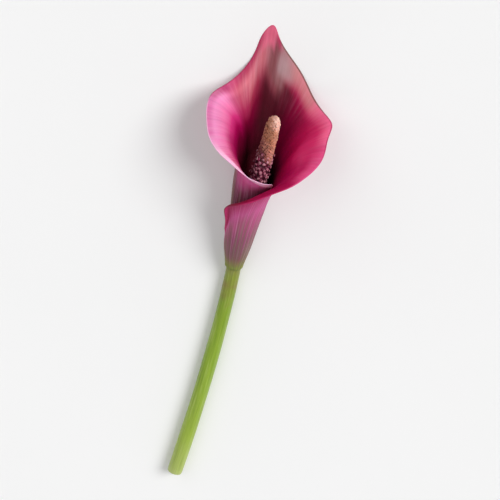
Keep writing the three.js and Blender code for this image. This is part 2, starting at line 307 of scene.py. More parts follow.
def spathe_material():
    s = Shader("spathe_skin")
    turn, rise, side, rim = (s.attribute(k) for k in ("turn", "rise", "side", "rim"))
    along = s.attribute("along")

    # veins: streaks that follow the ribs, broad ones from the base and finer ones between them on the limb
    wander = s.math("ADD", turn, s.math("MULTIPLY", s.math("SUBTRACT", s.noise(s.place(), 26.0, 2.0), 0.5), 9.0))
    broad = s.noise(s.vector(s.math("MULTIPLY", wander, 0.115), s.math("MULTIPLY", along, 0.012), s.math("MULTIPLY", side, 9.0)),
                    1.0, 3.0, 0.6)
    fine = s.noise(s.vector(s.math("MULTIPLY", wander, 0.42), s.math("MULTIPLY", along, 0.022), s.math("ADD", side, 4.0)),
                   1.0, 2.0, 0.55)
    hair = s.noise(s.vector(s.math("MULTIPLY", wander, 1.25), s.math("MULTIPLY", along, 0.035), s.math("ADD", side, 14.0)),
                   1.0, 2.0, 0.5)
    patches = s.noise(s.place(), 45.0, 3.0, 0.55)

    # the inner face: near-black maroon in the throat, then deep crimson, paler towards the margin. The shorter ribs at the
    # lower right come into colour sooner
    sooner = s.math("MULTIPLY", s.band(turn, 44, 108, 0.0, 0.15), s.band(rise, 1.0, 0.80))
    inner = s.ramp(s.math("ADD", rise, sooner), [(0.0, (34, 4, 12)), (0.56, (42, 4, 15)), (0.66, (92, 3, 42)), (0.76, (130, 2, 54)),
                                                 (0.86, (152, 2, 60)), (0.93, (180, 10, 74)), (0.97, (208, 42, 100)), (1.0, (234, 90, 142))])
    # the left lobe runs through magenta to a clear pink; its pale margin is partly its own colour and partly painted
    # sheen, and its lowest stops are lightened as painted light deep in the throat
    lobe = s.ramp(rise, [(0.0, (80, 14, 26)), (0.50, (78, 10, 26)), (0.60, (86, 5, 31)), (0.71, (110, 0, 44)), (0.785, (156, 2, 74)),
                         (0.845, (202, 46, 116)), (0.905, (234, 114, 167)), (0.96, (242, 144, 196)), (1.0, (244, 152, 204))])
    inner = s.mix(s.math("MULTIPLY", s.band(turn, -156, -96), s.band(turn, -34, -62)), inner, lobe)
    # the crown: brownish maroon low down, lightened there as painted light deep in the throat, then crimson, dusky pink
    # above
    crown = s.ramp(rise, [(0.0, (110, 30, 44)), (0.50, (104, 26, 42)), (0.63, (56, 8, 18)), (0.74, (82, 3, 30)), (0.82, (122, 3, 48)),
                          (0.875, (168, 50, 80)), (0.93, (208, 110, 123)), (0.958, (212, 110, 127)), (0.982, (186, 68, 98)),
                          (1.0, (186, 56, 98))])
    inner = s.mix(s.math("MULTIPLY", s.band(turn, -60, -30), s.band(turn, 40, 8)), inner, crown)

    def zone(amount, turn_in, turn_out, rise_in, rise_out):
        """A soft-edged patch of the inner face."""
        across = s.math("MULTIPLY", s.band(turn, *turn_in), s.band(turn, *turn_out))
        up_rib = s.math("MULTIPLY", s.band(rise, *rise_in), s.band(rise, *rise_out))
        return s.math("MULTIPLY", s.math("MULTIPLY", across, up_rib), amount)

    inner = s.mix(zone(0.60, (20, 34), (80, 52), (0.68, 0.84), (0.99, 0.91)), inner, (104, 4, 44))
    inner = s.mix(zone(0.38, (-62, -48), (-20, -30), (0.80, 0.88), (0.955, 0.93)), inner, (160, 6, 82))
    inner = s.mix(zone(0.75, (-74, -60), (-42, -50), (0.955, 0.985), (1.2, 1.1)), inner, (178, 50, 100))
    inner = s.mix(zone(0.75, (90, 132), (240, 200), (0.70, 0.84), (1.06, 1.02)), inner, (180, 0, 80))
    # a dark brown streak beside the midrib, and a painted greyish sheen, a painted highlight, on the limb to the right
    # of it
    inner = s.mix(zone(0.85, (-9, 3), (28, 15), (0.62, 0.74), (0.92, 0.85)), inner, (64, 18, 26))
    inner = s.mix(zone(0.75, (12, 20), (44, 26), (0.72, 0.82), (0.96, 0.92)), inner, (66, 10, 24))
    # the painted sheen, greyish pink
    inner = s.mix(zone(0.85, (-5, 4), (24, 13), (0.85, 0.915), (1.0, 0.97)), inner, (122, 74, 77))
    inner = s.mix(zone(0.55, (8, 13), (24, 18), (0.89, 0.925), (0.99, 0.95)), inner, (168, 118, 122))
    # the painted sheen begins higher up on the right
    plain_rise = rise
    rise = s.math("SUBTRACT", rise, s.math("MULTIPLY", s.math("MAXIMUM", s.math("SUBTRACT", turn, 14.0), 0.0), 0.0010))
    inner = s.mix(zone(0.88, (9, 16), (38, 22), (0.922, 0.957), (1.2, 1.1)), inner, (168, 129, 131))
    # the whitish core of the painted sheen
    inner = s.mix(zone(0.36, (8, 15), (34, 22), (0.918, 0.95), (1.0, 0.965)), inner, (200, 172, 176))
    rise = plain_rise
    inner = s.mix(zone(0.75, (18, 30), (72, 50), (0.945, 0.985), (1.2, 1.1)), inner, (213, 143, 143))
    # the very tip is pink
    inner = s.mix(zone(0.85, (-9, -3), (7, 3), (0.945, 0.968), (1.2, 1.1)), inner, (228, 106, 136))
    # the right brightens towards its margin
    inner = s.mix(zone(0.50, (50, 62), (104, 92), (0.93, 0.985), (1.2, 1.1)), inner, (234, 108, 144))
    inner = s.mix(zone(0.55, (96, 116), (146, 134), (0.90, 0.975), (1.2, 1.1)), inner, (232, 90, 144))
    inner = s.mix(zone(0.62, (96, 122), (160, 146), (0.54, 0.66), (0.88, 0.80)), inner, (178, 4, 80))
    inner = s.mix(zone(0.80, (128, 150), (400, 380), (0.78, 0.90), (1.2, 1.1)), inner, (146, 0, 58))
    # duller, darker maroon on the left end of the rolled margin: painted shade
    inner = s.mix(zone(0.75, (176, 206), (400, 380), (0.74, 0.86), (1.2, 1.1)), inner, (118, 14, 46))
    # the left lobe: mauve along its margin, deep down its lower wall
    inner = s.mix(zone(0.60, (-108, -98), (-64, -74), (0.955, 0.985), (1.2, 1.1)), inner, (216, 92, 154))
    inner = s.mix(zone(0.35, (-144, -126), (-84, -98), (0.62, 0.72), (0.91, 0.85)), inner, (116, 2, 52))
    # the lip of the inner flap is pale
    inner = s.mix(zone(0.8, (-128, -160), (-330, -320), (0.84, 0.98), (1.2, 1.1)), inner, (236, 150, 196))

    # the outer face: pale green at the foot, rosy mauve up the tube over grey-green, dull pink on the back of the limb
    outer = s.ramp(rise, [(0.0, (140, 100, 90)), (0.07, (136, 90, 92)), (0.16, (134, 84, 98)),
                          (0.28, (148, 78, 108)), (0.40, (178, 84, 126)), (0.55, (196, 88, 142)), (0.70, (178, 62, 110)),
                          (0.86, (172, 54, 96)), (0.96, (190, 56, 110)), (1.0, (214, 88, 146))])
    greenish = s.noise(s.vector(s.math("MULTIPLY", turn, 0.010), s.math("MULTIPLY", along, 0.010), 3.7), 1.0, 2.0)
    low = s.band(rise, 0.50, 0.08)
    olive = s.math("MULTIPLY", s.band(greenish, 0.42, 0.62), s.math("MULTIPLY", low, 0.75))
    outer = s.mix(olive, outer, (126, 118, 86))
    back = s.math("MULTIPLY", s.band(s.math("ABSOLUTE", turn), 26, 6), s.band(rise, 0.98, 0.80, 0.0, 0.45))
    outer = s.mix(back, outer, (120, 62, 74))
    # above the fold it is pink below the lip and darkens on the way down, partly its own colour and partly painted
    # shade, with grey-green on the left side
    outer = s.mix(s.math("MULTIPLY", s.band(turn, -72, -104), s.band(rise, 0.56, 0.84, 0.0, 0.75)), outer, (214, 98, 156))
    shorter = s.math("MULTIPLY", s.math("MINIMUM", s.math("ADD", turn, 142.0), 0.0), 0.0043)
    outer = s.mix(s.math("MULTIPLY", s.band(turn, -92, -118), s.band(s.math("ADD", rise, shorter), 0.69, 0.42, 0.0, 0.9)),
                  outer, (96, 32, 54))
    flank = s.math("MULTIPLY", s.band(turn, -130, -106), s.band(turn, -36, -62))
    outer = s.mix(s.math("MULTIPLY", flank, s.band(rise, 0.86, 0.56, 0.0, 0.75)), outer, (114, 98, 82))
    height_on_foot = s.math("ADD", along, s.math("MULTIPLY", s.math("SUBTRACT", broad, 0.5), 9.0))
    foot = s.band(height_on_foot, 10.0, -1.0)
    outer = s.mix(foot, outer, (134, 148, 62))

    colour = s.mix(side, inner, outer)

    streak = s.math("ADD", s.math("MULTIPLY", s.math("SUBTRACT", broad, 0.5), 0.30),
                    s.math("MULTIPLY", s.math("SUBTRACT", fine, 0.5), s.band(turn, 12, 46, 0.20, 0.11)))
    streak = s.math("ADD", streak, s.math("MULTIPLY", s.math("SUBTRACT", hair, 0.5), s.band(rise, 0.45, 0.95, 0.10, 0.20)))
    streak = s.math("ADD", streak, s.math("MULTIPLY", s.math("SUBTRACT", patches, 0.5), 0.30))
    colour = s.shade(colour, s.math("ADD", streak, 1.0))
    # outside, pale veins and grey-green ones between them stand out on the tube
    pale = s.math("MULTIPLY", s.band(fine, 0.47, 0.72), s.math("MULTIPLY", side, s.band(rise, 0.85, 0.40, 0.06, 0.38)))
    pale = s.math("MULTIPLY", pale, s.band(along, 0.0, 14.0, 0.3, 1.0))
    colour = s.mix(pale, colour, (220, 176, 200))
    dull = s.math("MULTIPLY", s.band(broad, 0.54, 0.40), s.math("MULTIPLY", side, s.band(rise, 0.66, 0.30, 0.0, 0.55)))
    colour = s.mix(dull, colour, (118, 98, 84))
    # inside, dusty pink streaks on the upper left of the crown and whitish ones on the lobes
    inside = s.math("SUBTRACT", 1.0, side)
    wisps = s.noise(s.vector(s.math("MULTIPLY", wander, 0.34), s.math("MULTIPLY", along, 0.040), 23.0), 1.0, 3.0, 0.54)
    dusty = s.math("MULTIPLY", s.band(wisps, 0.30, 0.76), s.math("MULTIPLY", inside, zone(0.40, (-46, -22), (5, -3), (0.86, 0.94), (0.99, 0.95))))
    colour = s.mix(dusty, colour, (222, 146, 156))
    whitish = s.math("MULTIPLY", s.band(wisps, 0.38, 0.74), s.math("MULTIPLY", inside, s.band(rise, 0.82, 0.98)))
    whitish = s.math("MULTIPLY", whitish, s.math("MULTIPLY", s.band(turn, -36, -66, 0.08, 0.28), s.band(turn, 150, 112)))
    whitish = s.math("MULTIPLY", whitish, s.math("ADD", s.band(turn, 60, 20), s.band(rise, 0.86, 0.99), clamp=True))
    colour = s.mix(whitish, colour, (250, 186, 214))

    # the margin: a pale edge along the lip, a painted highlight; bright on the lobes; a dark crimson line along the
    # upper left, painted shade; dark olive along the upper right, partly its own colour and partly painted shade where
    # the edge curls back, and wider there; duller maroon at the left end of the rolled margin, painted shade
    # a pale painted highlight along the lip, and dark crimson painted shade along the upper left
    edge = s.mix(s.band(turn, -76, -60), (255, 197, 228), (150, 30, 76))
    edge = s.mix(s.band(turn, -9, -3), edge, (206, 72, 112))
    # dark olive, partly painted shade of the curled-back edge
    edge = s.mix(s.band(turn, 5, 12), edge, (112, 74, 66))
    edge = s.mix(s.band(turn, 58, 78), edge, (176, 46, 92))
    edge = s.mix(s.band(turn, 98, 124), edge, (222, 92, 144))
    edge = s.mix(s.band(turn, 136, 160), edge, (196, 44, 104))
    # duller maroon at the left end of the rolled margin, painted shade
    edge = s.mix(s.band(turn, 184, 212), edge, (134, 42, 66))
    # the lip's pale edge, a painted highlight, spreads wider
    lip_highlight = s.band(turn, -98, -134)
    wide = s.band(rim, 3.5, 1.5)
    # the dark edge along the upper right, partly painted shade, is wider
    olive_edge_and_shade = s.math("MULTIPLY", s.band(turn, 3, 10), s.band(turn, 66, 50))
    narrow = s.band(s.math("MULTIPLY", rim, s.math("SUBTRACT", 1.0, s.math("MULTIPLY", olive_edge_and_shade, 0.35))), 0.80, 0.25)
    amount = s.node("ShaderNodeMix", data_type="FLOAT")
    s.put(amount.inputs[0], lip_highlight)
    s.put(amount.inputs[2], narrow)
    s.put(amount.inputs[3], wide)
    colour = s.mix(s.math("MULTIPLY", amount.outputs[0], s.band(along, 3.0, 24.0, 0.0, 0.9)), colour, edge)

    height = s.math("ADD", s.math("MULTIPLY", fine, 0.6), s.math("MULTIPLY", hair, 0.4))
    height = s.math("ADD", height, s.math("MULTIPLY", broad, 0.5))
    cellular = s.noise(s.place(), 2600.0, 2.0, 0.6)
    normal = s.bump(height, 0.00022, 0.55)
    normal = s.bump(cellular, 0.00002, 0.5, normal)
    # velvety in the throat, satin on the limb and outside
    rough = s.math("ADD", s.math("MULTIPLY", patches, 0.16), s.band(s.math("ADD", rise, side), 0.66, 0.90, 0.80, 0.44))
    s.principled(Base_Color=colour, Roughness=rough, Normal=normal)
    s.principled(Specular_IOR_Level=0.055, Subsurface_Weight=0.15, Subsurface_Scale=0.0010)
    s.bsdf.inputs["Subsurface Radius"].default_value = (1.0, 0.28, 0.42)
    return s.material


def spadix_materials():
    # the stalk and the body under the florets
    s = Shader("spadix_body")
    tall = s.attribute("tall")
    colour = s.ramp(s.math("DIVIDE", tall, 100.0), [(0.0, (170, 176, 120)), (0.30, (150, 110, 100)), (0.40, (70, 14, 36)),
                                                   (0.70, (72, 15, 34)), (0.75, (98, 44, 44)), (1.0, (140, 78, 60))])
    colour = s.shade(colour, s.math("ADD", s.math("MULTIPLY", s.noise(s.place(), 900.0, 3.0), 0.5), 0.75))
    s.principled(Base_Color=colour, Roughness=0.6, Normal=s.bump(s.noise(s.place(), 1500.0, 2.0), 0.0001, 0.6))
    body = s.material

    # male florets: pale peach at the tip, tan below, pinkish brown where they end, each with its own tone; paler on the
    # right of the spadix as painted light and darker on its left as painted shade, and painted shade down their sides
    # and in the groove between the lobes
    s = Shader("male_florets")
    tone, top, level, right = (s.attribute(k) for k in ("tone", "top", "level", "right"))
    blotch = s.noise(s.place(), 260.0, 2.0, 0.5)
    where = s.math("ADD", s.math("DIVIDE", s.math("SUBTRACT", level, 70.5), 28.5), s.math("MULTIPLY", s.math("SUBTRACT", blotch, 0.5), 0.55))
    colour = s.ramp(where, [(0.0, (112, 44, 58)), (0.14, (150, 78, 76)), (0.32, (192, 124, 106)), (0.52, (174, 108, 80)),
                            (0.70, (188, 124, 94)), (0.86, (222, 160, 140)), (1.0, (238, 188, 172))])
    # painted shade on the left of the spadix and painted light on its right
    colour = s.shade(colour, s.math("MULTIPLY", s.band(tone, 0.0, 1.0, 0.72, 1.14), s.band(right, -0.05, 0.60, 0.80, 1.22)))
    colour = s.mix(s.band(right, 0.30, 0.90, 0.0, 0.28), colour, (238, 178, 162))
    # painted shade on the lower sides of each floret and in its groove, between the florets
    colour = s.mix(s.band(top, 0.55, 0.0, 0.0, 0.85), colour, (132, 66, 52))
    grain = s.noise(s.place(), 3200.0, 2.0, 0.6)
    colour = s.shade(colour, s.math("ADD", s.math("MULTIPLY", grain, 0.44), 0.78))
    s.principled(Base_Color=colour, Roughness=0.58, Normal=s.bump(grain, 0.00006, 0.8), Specular_IOR_Level=0.35,
                 Subsurface_Weight=0.2, Subsurface_Scale=0.0008)
    s.bsdf.inputs["Subsurface Radius"].default_value = (1.0, 0.5, 0.35)
    male = s.material

    # female florets: dark purple ovaries, with painted shade towards their feet
    s = Shader("ovaries")
    tone, top = s.attribute("tone"), s.attribute("top")
    colour = s.ramp(tone, [(0.0, (86, 12, 42)), (0.6, (114, 24, 60)), (1.0, (146, 50, 86))])
    # painted shade towards the foot of each ovary, between the florets
    colour = s.mix(s.band(top, 0.5, 0.0, 0.0, 0.85), colour, (58, 9, 26))
    colour = s.shade(colour, s.math("ADD", s.math("MULTIPLY", s.noise(s.place(), 1800.0, 2.0), 0.6), 0.7))
    s.principled(Base_Color=colour, Roughness=0.38, Specular_IOR_Level=0.5,
                 Normal=s.bump(s.noise(s.place(), 2400.0, 2.0), 0.00005, 0.5))
    ovary = s.material

    # and their round, pale pink stigmas, with painted light on the right of the spadix and painted shade on its left
    s = Shader("stigmas")
    tone, right = s.attribute("tone"), s.attribute("right")
    colour = s.ramp(tone, [(0.0, (138, 64, 86)), (0.5, (178, 108, 126)), (1.0, (222, 166, 176))])
    speck = s.noise(s.place(), 4200.0, 2.0, 0.6)
    colour = s.shade(colour, s.math("ADD", s.math("MULTIPLY", speck, 0.5), 0.75))
    # painted light on the right of the spadix, painted shade on its left
    colour = s.shade(colour, s.band(right, -0.6, 0.7, 0.78, 1.24))
    s.principled(Base_Color=colour, Roughness=0.5, Specular_IOR_Level=0.5, Normal=s.bump(speck, 0.00004, 0.8))
    return body, male, ovary, s.material


def stem_materials():
    s = Shader("stem_skin")
    around, down = s.attribute("around"), s.attribute("down")
    base = s.ramp(down, [(0.0, (132, 134, 54)), (0.035, (132, 144, 46)), (0.12, (128, 154, 38)), (0.45, (136, 166, 44)),
                         (0.80, (152, 176, 62)), (0.97, (168, 184, 96)), (1.0, (184, 194, 120))])
    line = s.noise(s.vector(s.math("MULTIPLY", around, 26.0), s.math("MULTIPLY", down, 5.0), 0.0), 1.0, 3.0, 0.6)
    fine = s.noise(s.vector(s.math("MULTIPLY", around, 90.0), s.math("MULTIPLY", down, 9.0), 7.0), 1.0, 2.0, 0.5)
    patch = s.noise(s.place(), 60.0, 3.0, 0.55)
    colour = s.mix(s.band(line, 0.50, 0.72, 0.0, 0.55), base, (178, 196, 104))
    colour = s.mix(s.band(line, 0.48, 0.28, 0.0, 0.45), colour, (92, 118, 30))
    colour = s.mix(s.math("MULTIPLY", s.band(patch, 0.55, 0.75), s.band(down, 0.32, 0.0, 0.0, 0.5)), colour, (140, 84, 74))
    colour = s.shade(colour, s.math("ADD", s.math("MULTIPLY", fine, 0.28), 0.86))
    height = s.math("ADD", s.math("MULTIPLY", line, 0.7), s.math("MULTIPLY", fine, 0.3))
    normal = s.bump(height, 0.00018, 0.6)
    s.principled(Base_Color=colour, Normal=normal, Specular_IOR_Level=0.5, Subsurface_Weight=0.12,
                 Subsurface_Scale=0.002, Roughness=s.math("ADD", 0.30, s.math("MULTIPLY", patch, 0.18)))
    s.bsdf.inputs["Subsurface Radius"].default_value = (0.6, 1.0, 0.25)
    skin = s.material

    s = Shader("stem_cut")
    reach = s.attribute("reach")  # 0 in the middle of the cut, 1 at the skin
    colour = s.ramp(reach, [(0.0, (214, 216, 164)), (0.72, (206, 212, 150)), (0.88, (170, 190, 96)), (0.97, (124, 150, 48)),
                            (1.0, (104, 132, 36))])
    strands = s.cells(s.place(), 950.0)
    colour = s.mix(s.math("MULTIPLY", s.band(strands, 0.26, 0.12), s.band(reach, 0.95, 0.85, 0.0, 0.8)), colour, (120, 132, 62))
    pith = s.noise(s.place(), 3400.0, 3.0, 0.65)
    colour = s.shade(colour, s.math("ADD", s.math("MULTIPLY", pith, 0.4), 0.8))
    s.principled(Base_Color=colour, Roughness=0.42, Specular_IOR_Level=0.5, Subsurface_Weight=0.2, Subsurface_Scale=0.002,
                 Normal=s.bump(s.math("SUBTRACT", s.math("MULTIPLY", pith, 0.5), strands), 0.0003, 0.5))
    return skin, s.material


# ------------------------------------------------------------------ the spathe
def bare_sheet(angle, v):
    """The middle of the sheet before it is relieved or rests on the surface."""
    angle, v = np.broadcast_arrays(np.asarray(angle, float), np.asarray(v, float))
    x, y, z, leave, lean, handle_tube, handle_rim = (r(angle) for r in ribs)
    a = np.radians(angle)
    spiral = SPIRAL * angle / 360

    def fused(h):  # the turns grow together at the foot
        return spiral * (0.3 + 0.7 * smooth(0, 15, h))

    h = leave * np.minimum(v, SHARE) / SHARE
    r = tube(h) + fused(h)
    low = np.stack([r * np.sin(a) + DRIFT * h * h, r * np.cos(a), h], -1)
    r = tube(leave) + fused(leave)
    start = np.stack([r * np.sin(a) + DRIFT * leave**2, r * np.cos(a), leave], -1)
    slope = tube.slope(leave)
    up = unit(np.stack([slope * np.sin(a) + 2 * DRIFT * leave, slope * np.cos(a), np.ones_like(a)], -1))
    end = np.stack([x, y, z], -1)
    facing, tilt = np.arctan2(x, y), np.radians(lean)
    out = np.stack([np.sin(tilt) * np.sin(facing), np.sin(tilt) * np.cos(facing), np.cos(tilt)], -1)
    t = np.clip((v - SHARE) / (1 - SHARE), 0, 1)[..., None]
    b1, b2 = start + up * handle_tube[..., None], end - out * handle_rim[..., None]
    high = (1 - t) ** 3 * start + 3 * (1 - t) ** 2 * t * b1 + 3 * (1 - t) * t * t * b2 + t**3 * end
    return np.where((v < SHARE)[..., None], low, high)


def outward(surface, angle, v):
    a0, a1 = np.maximum(FIRST, angle - 0.5), np.minimum(LAST, angle + 0.5)
    v0, v1 = np.maximum(0, v - 0.004), np.minimum(1, v + 0.004)
    return -unit(np.cross(surface(a1, v) - surface(a0, v), surface(angle, v1) - surface(angle, v0)))


def relief(angle, v):
    """How far the sheet stands out from the plain surface, mm: slow waves and the ribs of the main veins."""
    a = np.radians(angle)
    free = lerp(0.12, 1.0, smooth(150, 112, np.abs(angle)))
    limb = smooth(0.55, 1.0, v) * free
    waves = 0.34 * np.sin(3.1 * a + 0.7 + 1.5 * v) + 0.24 * np.sin(6.3 * a - 1.1 - 3.0 * v) + 0.15 * np.sin(13.0 * a + 0.4 + 4.0 * v)
    veins = 0.040 * np.cos(38 * a + 1.4 * np.sin(5 * a)) * (1 - smooth(0.90, 1.0, v)) * lerp(0.6, 1.0, free)
    keel = 0.30 * np.exp(-((angle - 1.5) / 5.5) ** 2) * smooth(0.0, 0.2, v) * (1 - smooth(0.90, 1.0, v))
    return waves * limb + veins + keel


def settle(p):
    height = BASE_HEIGHT + p[..., 2] * SIN - p[..., 1] * COS
    s = (height - RESTING) / SOFTNESS
    raised = np.where(s > 30, height, RESTING + SOFTNESS * np.log1p(np.exp(np.minimum(s, 30))))
    q = p.copy()
    q[..., 1] -= (raised - height) * COS
    q[..., 2] += (raised - height) * SIN
    return q


def sheet(angle, v):
    angle, v = np.broadcast_arrays(np.asarray(angle, float), np.asarray(v, float))
    p = bare_sheet(angle, v)
    return settle(p + outward(bare_sheet, angle, v) * relief(angle, v)[..., None])


def build_spathe(material):
    angles = []
    for before, after in zip(RIBS, RIBS[1:]):
        span = math.dist(before[1:4], after[1:4])
        n = max(3, math.ceil(span / 1.05), math.ceil((after[0] - before[0]) / 2.3))
        angles += [lerp(before[0], after[0], k / n) for k in range(n)]
    angles.append(LAST)
    ends = [0.25, 0.7, 1.3, 2.1, 3.1]
    angles = [a for a in angles if FIRST + 3.6 < a < LAST - 3.6]
    angles = np.array([FIRST] + [FIRST + e for e in ends] + angles + [LAST - e for e in reversed(ends)] + [LAST])
    columns = len(angles)

    # rows: up the tube, up the limb, then close together where the margin rounds off
    reach = 3 * ribs[6](angles) / (1 - SHARE)  # mm of sheet for each unit of v at the margin
    close = np.array([0.95, 0.60, 0.38, 0.25, 0.15, 0.07, 0.02, 0.0])
    tube_rows = np.linspace(0, SHARE, 25)[:-1]
    limb_rows = np.linspace(0, 1, 77)[:-1]
    v = np.concatenate(
        [
            np.repeat(tube_rows[None], columns, 0),
            SHARE + limb_rows[None] * (1 - close[0] / reach - SHARE)[:, None],
            1 - close[None] / reach[:, None],
        ],
        1,
    )
    rows = v.shape[1]
    angle = np.repeat(angles[:, None], rows, 1)
    middle = sheet(angle, v)
    normal = outward(sheet, angle, v)
    steps = np.linalg.norm(np.diff(middle, axis=1), axis=2)
    along = np.concatenate([np.zeros((columns, 1)), np.cumsum(steps, 1)], 1)
    rim = along[:, -1:] - along
    around = np.linalg.norm(np.diff(middle, axis=0), axis=2)
    from_start = np.concatenate([np.zeros((1, rows)), np.cumsum(around, 0)], 0)
    edge = np.minimum(rim, np.minimum(from_start, from_start[-1:] - from_start))

    thick = lerp(0.95, 0.46, smooth(0.25, 1.0, v)) + 0.28 * np.exp(-((angle / 7) ** 2)) * (1 - smooth(0.85, 1.0, v))
    radius = thick / 2
    short = 1 - np.minimum(edge, radius) / radius
    half = np.maximum(radius * np.sqrt(np.maximum(0, 1 - short**2)), 0.012)
    # the very edge turns out a little
    curl = 0.40 * np.clip(1 - rim / 3.2, 0, 1) ** 2 * smooth(0.5, 0.7, v) * lerp(0.25, 1.0, smooth(170, 130, np.abs(angle)))
    middle = middle + normal * curl[..., None]
    inside = middle - normal * half[..., None]
    outside = middle + normal * half[..., None]

    n = columns * rows
    verts = np.concatenate([inside.reshape(-1, 3), outside.reshape(-1, 3)])
    faces = grid_faces(columns, rows) + grid_faces(columns, rows, flip=True, offset=n)
    at = lambda i, j: i * rows + j  # noqa: E731
    last = columns - 1
    for i in range(last):
        faces.append((at(i, 0), n + at(i, 0), n + at(i + 1, 0), at(i + 1, 0)))
        faces.append((at(i, rows - 1), at(i + 1, rows - 1), n + at(i + 1, rows - 1), n + at(i, rows - 1)))
    for j in range(rows - 1):
        faces.append((at(0, j), at(0, j + 1), n + at(0, j + 1), n + at(0, j)))
        faces.append((at(last, j), n + at(last, j), n + at(last, j + 1), at(last, j + 1)))
    two = lambda a: np.concatenate([np.asarray(a).ravel()] * 2)  # noqa: E731
    attributes = {
        "turn": two(angle),
        "rise": two(v),
        "side": np.concatenate([np.zeros(n), np.ones(n)]),
        "rim": two(np.minimum(edge, 6.0)),
        "along": two(along),
    }

    # the foot of the spathe, where it grows out of the stem: a shallow swelling over the lowest part of the rolled sheet
    sides = 96
    ring = np.linspace(-180, 180, sides, endpoint=False)
    on_top = np.where(ring <= LAST - 360, ring + 360, ring)  # the turn of the sheet that lies outermost there
    blended = ring + 360 * (1 - smooth(-112, -84, ring))
    levels = np.array([-2.2, -1.95, -1.6, -1.2, -0.8, -0.4, 0.0, 0.4, 0.8, 1.2, 1.6, 2.0, 2.4, 2.8, 3.2, 3.6])
    z = levels[:, None]
    a = np.radians(ring)[None]
    skin = tube(np.maximum(z, 0)) + SPIRAL * blended / 360 * (0.3 + 0.7 * smooth(0, 15, z)) + thick[0, 0] / 2
    wide = lerp(3.92, skin + 0.14, smooth(-2.2, 0.7, z)) - 0.42 * smooth(1.0, 3.6, z)
    wide = wide + 0.05 * np.cos(9 * a + 1.2) * smooth(-1.9, -0.4, z)
    foot = np.stack([wide * np.sin(a), wide * np.cos(a), z + 0 * a], -1)
    start, count = len(verts), len(levels)
    verts = np.concatenate([verts, foot.reshape(-1, 3), [[0, 0, levels[0]], [0, 0, levels[-1]]]])
    faces += grid_faces(count, sides, wrap=True, offset=start)
    for k in range(sides):
        m = (k + 1) % sides
        faces.append((start + k, start + m, start + count * sides))
        faces.append((start + (count - 1) * sides + m, start + (count - 1) * sides + k, start + count * sides + 1))
    leave = ribs[3](on_top)
    attributes["turn"] = np.concatenate([attributes["turn"], np.tile(on_top, count), [0, 0]])
    attributes["rise"] = np.concatenate([attributes["rise"], (np.maximum(z, 0) * SHARE / leave).ravel(), [0, 0.03]])
    attributes["side"] = np.concatenate([attributes["side"], np.ones(count * sides + 2)])
    attributes["rim"] = np.concatenate([attributes["rim"], np.full(count * sides + 2, 6.0)])
    attributes["along"] = np.concatenate([attributes["along"], np.repeat(levels, sides), [0, 3.6]])
    placed = to_row(verts)
    # where it rests, nothing reaches into the surface
    softness = 0.00006
    placed[:, 2] = softness * np.logaddexp(0, placed[:, 2] / softness)
    return add_mesh("spathe_bract", placed, faces, material, attributes)


# ------------------------------------------------------------------ the spadix
spadix_lean = Spline(*zip(*SPADIX_LEAN))


def spadix_core():
    """Radius of the body under the florets, against height."""
    z = np.array([p[1] for p in SPADIX])
    r = np.array([p[0] for p in SPADIX])
    fine = np.concatenate([np.linspace(2.4, 92, 150), np.linspace(92.4, 98.3, 36)])
    return fine, np.interp(fine, z, r)


